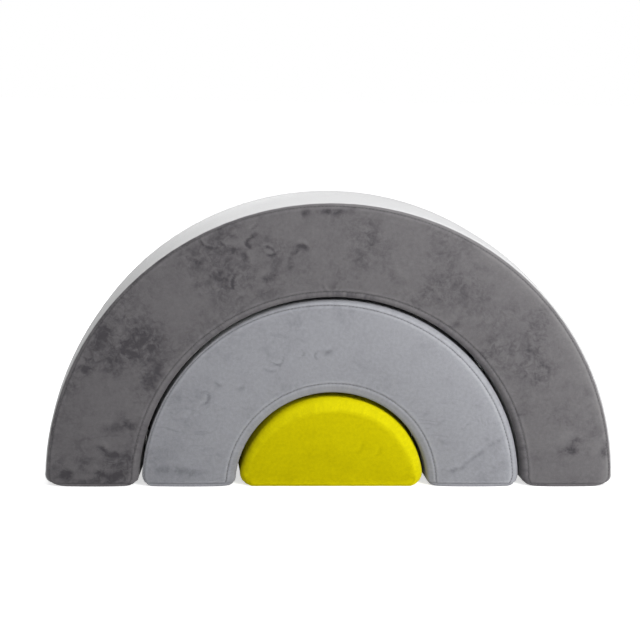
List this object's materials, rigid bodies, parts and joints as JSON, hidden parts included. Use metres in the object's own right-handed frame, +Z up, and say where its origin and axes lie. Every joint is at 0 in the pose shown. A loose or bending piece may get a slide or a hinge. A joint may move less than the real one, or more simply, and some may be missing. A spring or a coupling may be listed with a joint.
{
  "type": "soft play shape",
  "caption": "Nesting soft play arches: velvet-covered foam arches in two greys around a yellow half round, each with a zipped removable cover.",
  "frame": {"origin": "on the floor under the arches' common axis, halfway through their depth", "axes": "+Z up, X along the nested set's length, -Y towards the side without zips, which the picture shows"},
  "size_m": [1.199, 0.25, 0.6],
  "materials": {
    "foam": "matte",
    "dark_grey_velvet": "matte",
    "light_grey_velvet": "matte",
    "yellow_velvet": "matte",
    "dark_zip_tape": "matte",
    "grey_zip_tape": "matte",
    "yellow_zip_tape": "matte",
    "dark_zip_coil": "satin",
    "grey_zip_coil": "satin",
    "yellow_zip_coil": "satin",
    "zip_metal": "satin"
  },
  "bodies": {
    "outer_arch": {"outer_arch_foam_core": "foam", "outer_arch_front_panel": "dark_grey_velvet", "outer_arch_back_panel": "dark_grey_velvet", "outer_arch_back_facing": "dark_grey_velvet", "outer_arch_outer_band": "dark_grey_velvet", "outer_arch_inner_band": "dark_grey_velvet", "outer_arch_left_foot": "dark_grey_velvet", "outer_arch_right_foot": "dark_grey_velvet", "outer_arch_zip_tape_upper": "dark_zip_tape", "outer_arch_zip_tape_lower": "dark_zip_tape", "outer_arch_zip_coil_upper": "dark_zip_coil", "outer_arch_zip_coil_lower": "dark_zip_coil"},
    "outer_arch_slider": {"outer_arch_zip_slider": "zip_metal"},
    "outer_arch_pull": {"outer_arch_zip_pull": "zip_metal"},
    "middle_arch": {"middle_arch_foam_core": "foam", "middle_arch_front_panel": "light_grey_velvet", "middle_arch_back_panel": "light_grey_velvet", "middle_arch_back_facing": "light_grey_velvet", "middle_arch_outer_band": "light_grey_velvet", "middle_arch_inner_band": "light_grey_velvet", "middle_arch_left_foot": "light_grey_velvet", "middle_arch_right_foot": "light_grey_velvet", "middle_arch_zip_tape_upper": "grey_zip_tape", "middle_arch_zip_tape_lower": "grey_zip_tape", "middle_arch_zip_coil_upper": "grey_zip_coil", "middle_arch_zip_coil_lower": "grey_zip_coil"},
    "middle_arch_slider": {"middle_arch_zip_slider": "zip_metal"},
    "middle_arch_pull": {"middle_arch_zip_pull": "zip_metal"},
    "half_round": {"half_round_foam_core": "foam", "half_round_front_panel": "yellow_velvet", "half_round_back_panel": "yellow_velvet", "half_round_back_facing": "yellow_velvet", "half_round_band": "yellow_velvet", "half_round_base": "yellow_velvet", "half_round_zip_tape_upper": "yellow_zip_tape", "half_round_zip_tape_lower": "yellow_zip_tape", "half_round_zip_coil_upper": "yellow_zip_coil", "half_round_zip_coil_lower": "yellow_zip_coil"},
    "half_round_slider": {"half_round_zip_slider": "zip_metal"},
    "half_round_pull": {"half_round_zip_pull": "zip_metal"}
  },
  "joints": [
    {"name": "middle_arch_slides_out", "type": "slide", "parent": "outer_arch", "child": "middle_arch", "axis": [0, -1, 0], "range_m": [-0.3, 0.3]},
    {"name": "half_round_slides_out", "type": "slide", "parent": "outer_arch", "child": "half_round", "axis": [0, -1, 0], "range_m": [-0.6, 0.6]},
    {"name": "outer_arch_zip", "type": "hinge", "parent": "outer_arch", "child": "outer_arch_slider", "pos_m": [0, 0.1185, 0], "axis": [0, -1, 0], "range_deg": [0, 147.6], "deforming": ["outer_arch_zip_coil_upper", "outer_arch_zip_coil_lower"]},
    {"name": "middle_arch_zip", "type": "hinge", "parent": "middle_arch", "child": "middle_arch_slider", "pos_m": [0, 0.1185, 0], "axis": [0, -1, 0], "range_deg": [0, 145.6], "deforming": ["middle_arch_zip_coil_upper", "middle_arch_zip_coil_lower"]},
    {"name": "half_round_zip", "type": "slide", "parent": "half_round", "child": "half_round_slider", "axis": [-1, 0, 0], "range_m": [0, 0.226], "deforming": ["half_round_zip_coil_upper", "half_round_zip_coil_lower"]},
    {"name": "outer_arch_pull_swings", "type": "hinge", "parent": "outer_arch_slider", "child": "outer_arch_pull", "pos_m": [0.41911, 0.12238, 0.12162], "axis": [0.9604, 0, 0.2787], "range_deg": [0, 180]},
    {"name": "middle_arch_pull_swings", "type": "hinge", "parent": "middle_arch_slider", "child": "middle_arch_pull", "pos_m": [0.22875, 0.12238, 0.07061], "axis": [0.9555, 0, 0.2949], "range_deg": [0, 180]},
    {"name": "half_round_pull_swings", "type": "hinge", "parent": "half_round_slider", "child": "half_round_pull", "pos_m": [0.11335, 0.12238, 0.03494], "axis": [0, 0, 1], "range_deg": [0, 180]}
  ]
}
